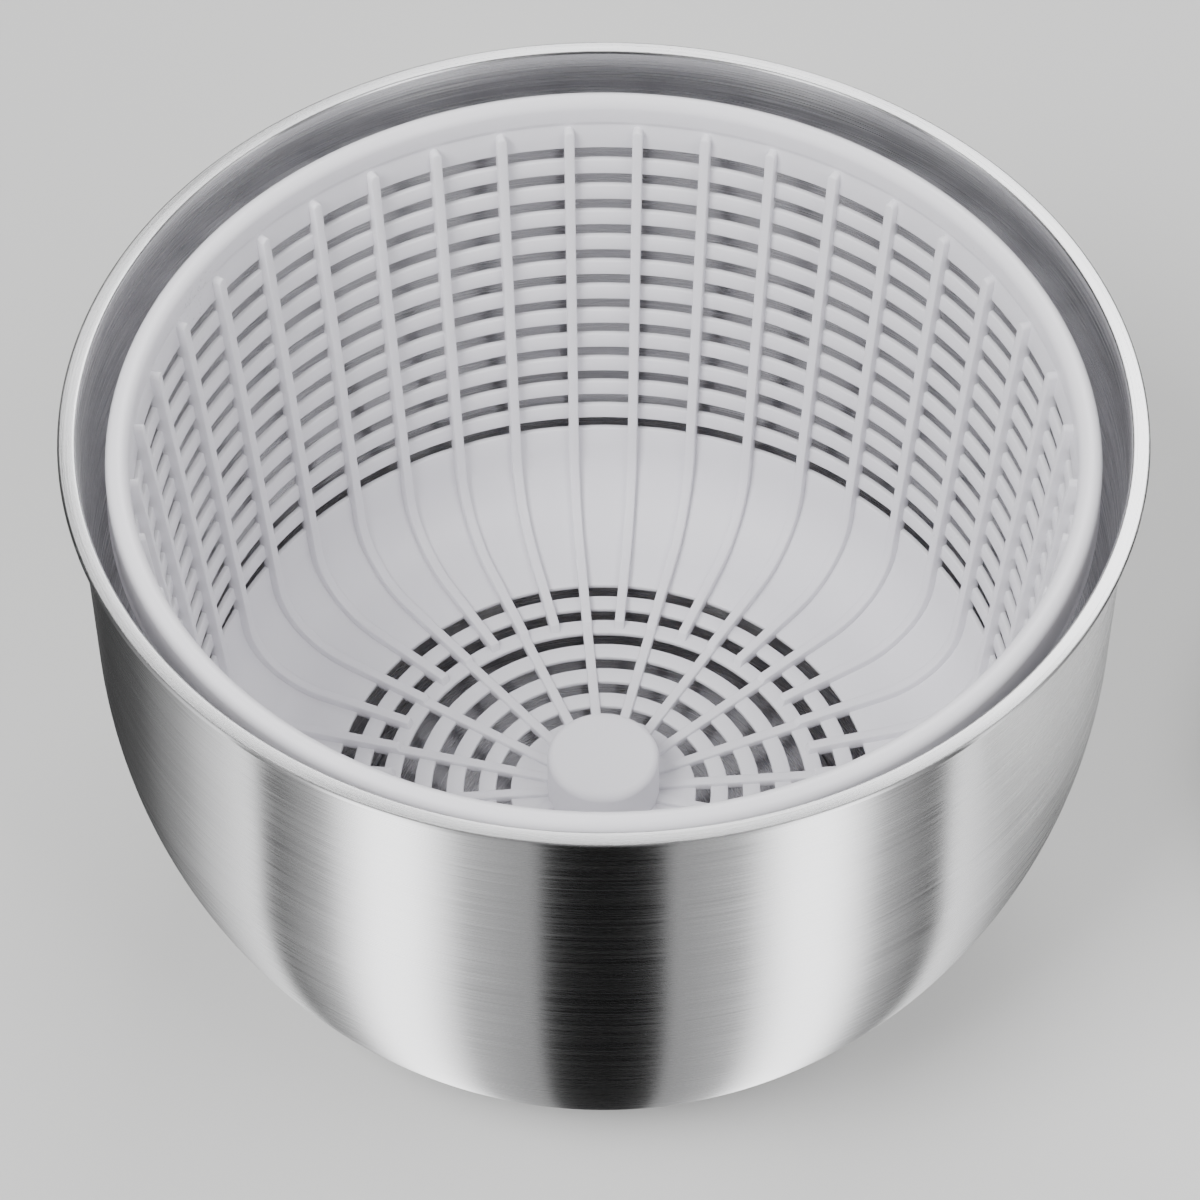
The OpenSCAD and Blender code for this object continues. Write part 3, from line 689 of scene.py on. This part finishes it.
def make_world():
    """A pale room to look at, dim to be lit by, with soft dark and light bands to reflect."""
    world = bpy.data.worlds.new("studio")
    world.use_nodes = True
    tree = world.node_tree
    link = tree.links.new

    def node(kind, **settings):
        made = tree.nodes.new(kind)
        for key, value in settings.items():
            setattr(made, key, value)
        return made

    def span(value, low, high):
        made = node("ShaderNodeMapRange")
        made.inputs["From Min"].default_value = low
        made.inputs["From Max"].default_value = high
        link(value, made.inputs["Value"])
        return made.outputs["Result"]

    def mix(factor, color, level):
        made = node("ShaderNodeMix", data_type="RGBA")
        made.inputs["B"].default_value = (level, level, level, 1)
        link(factor, made.inputs["Factor"])
        link(color, made.inputs["A"])
        return made.outputs["Result"]

    split = node("ShaderNodeSeparateXYZ")
    link(node("ShaderNodeTexCoord").outputs["Generated"], split.inputs[0])
    flip = node("ShaderNodeMath", operation="SUBTRACT")
    flip.inputs[0].default_value = BAND_SHIFT
    link(split.outputs["Y"], flip.inputs[1])
    side = node("ShaderNodeMath", operation="ABSOLUTE")
    link(split.outputs["X"], side.inputs[0])
    turn = node("ShaderNodeMath", operation="ARCTAN2")
    link(side.outputs[0], turn.inputs[0])
    link(flip.outputs[0], turn.inputs[1])
    ramp = node("ShaderNodeValToRGB")
    fill_ramp(ramp.color_ramp, BANDS)
    link(span(turn.outputs[0], 0, pi), ramp.inputs["Fac"])
    path = node("ShaderNodeLightPath")
    color = mix(span(split.outputs["Z"], 0.7, 0.95), ramp.outputs["Color"], TOP_LEVEL)
    color = mix(path.outputs["Is Diffuse Ray"], color, DIFFUSE_LEVEL)
    color = mix(path.outputs["Is Camera Ray"], color, ROOM_LEVEL)
    link(color, tree.nodes["Background"].inputs["Color"])
    bpy.context.scene.world = world


# Each light: name, place, what it aims at, size, power, and whether it shows in the steel
LIGHTS = (
    ("soft_key", (-0.8, -0.8, 1.5), (0, 0, 0.1), (0.8, 0.8), 42, False),
    ("soft_near", (0.9, -0.7, 1.4), (0.1, 0, 0.1), (1.0, 1.0), 16, False),
    ("soft_far", (0.4, 1.1, 1.3), (0.05, 0, 0.1), (1.2, 0.6), 14, True),
)


def make_lights():
    """A large soft key over the front left and two fills."""
    for name, at, aim, size, power, shows in LIGHTS:
        area_light(name, at, aim, size, power).visible_glossy = shows


VIEW_TARGET = (-0.9 * MM, 0, 100.7 * MM)
VIEW_DISTANCE = 1056 * MM
VIEW_DOWN_DEG = 49.8
SENSOR_MM, LENS_MM = 36, 124.1


def make_camera():
    """Looks down at the bowl from its front."""
    pitch, target = radians(VIEW_DOWN_DEG), Vector(VIEW_TARGET)
    back = Vector((0, -cos(pitch), sin(pitch))) * VIEW_DISTANCE
    data = bpy.data.cameras.new("camera")
    data.sensor_width = SENSOR_MM
    data.lens = LENS_MM
    camera = bpy.data.objects.new("camera", data)
    camera.location = target + back
    camera.rotation_euler = (-back).to_track_quat("-Z", "Y").to_euler()
    bpy.context.scene.collection.objects.link(camera)
    bpy.context.scene.camera = camera


# ---------------------------------------------------------------- assembly

STEEL = brushed_steel("bowl_steel_brushed", BOWL_AXIS)
CAP_STEEL = turned_steel("cap_steel_spun")
BRIGHT = turned_steel("bright_steel_turned")
BASKET_WHITE = moulded_plastic("basket_white", (0.80, 0.79, 0.83), 0.28, 0.03, subsurface=0.12)
LID_WHITE = moulded_plastic("lid_white", (0.80, 0.80, 0.79), 0.28, 0.05, subsurface=0.15, coat=0.15)
INNER = moulded_plastic("inner_white", (0.72, 0.72, 0.70), 0.45, 0.10)
ACETAL = moulded_plastic("natural_acetal", (0.70, 0.67, 0.58), 0.38, 0.05, subsurface=0.2)
BUTTON = moulded_plastic("button_grey", (0.10, 0.11, 0.12), 0.45, 0.16)
SILICONE = rubber("grey_silicone", (0.16, 0.165, 0.17))
PAD = rubber("brake_rubber", (0.02, 0.02, 0.022))

SOFT = {
    "lid_cover": (0.5, "lid_unit", LID_WHITE, "lid_plastic"),
    "crank_arm": (0.9, "crank_unit", LID_WHITE, "lid_plastic"),
    "crank_cap": (0.3, "crank_unit", CAP_STEEL, "cap_steel"),
    "crank_knob": (0.5, "knob_unit", LID_WHITE, "lid_plastic"),
    "knob_cap": (0.3, "knob_unit", CAP_STEEL, "cap_steel"),
    "brake_button": (0.5, "brake_unit", BUTTON, "button_plastic"),
    "brake_pad": (0.4, "brake_unit", PAD, "pad_rubber"),
    "drive_plate": (0.3, "plate_unit", INNER, "inner_plastic"),
    "drive_ring": (0.3, "plate_unit", INNER, "inner_plastic"),
    "gear_case_plate": (0.3, "lid_unit", INNER, "inner_plastic"),
    "pivot_cap": (0.4, "turning_cap", ACETAL, "acetal"),
}
KEPT = {
    "base_pad": SILICONE, "pivot_pin": BRIGHT, "lid_seal": SILICONE, "case_screws": BRIGHT,
    "crank_bush": ACETAL, "drive_bush": ACETAL, "ring_gear": ACETAL, "planet_carrier": ACETAL,
    "planet_pins": BRIGHT, "planet_gear_a": ACETAL, "planet_gear_b": ACETAL,
    "planet_gear_c": ACETAL, "sun_shaft": ACETAL, "thrust_washers": BRIGHT,
    "plate_washer": BRIGHT, "plate_screw": BRIGHT, "crank_washer": BRIGHT,
    "crank_screw": BRIGHT, "knob_pin": BRIGHT,
}

make_camera()
make_world()
make_lights()
make_floor()
make_bowl(STEEL)
make_basket(BASKET_WHITE)
make_basket_hub(BASKET_WHITE)
for name, (width, body, material, slot) in SOFT.items():
    soften(name, width * MM, body, material)
make_brake_spring(BRIGHT)
for name, material in KEPT.items():
    NODES[name].data.materials.clear()
    NODES[name].data.materials.append(material)
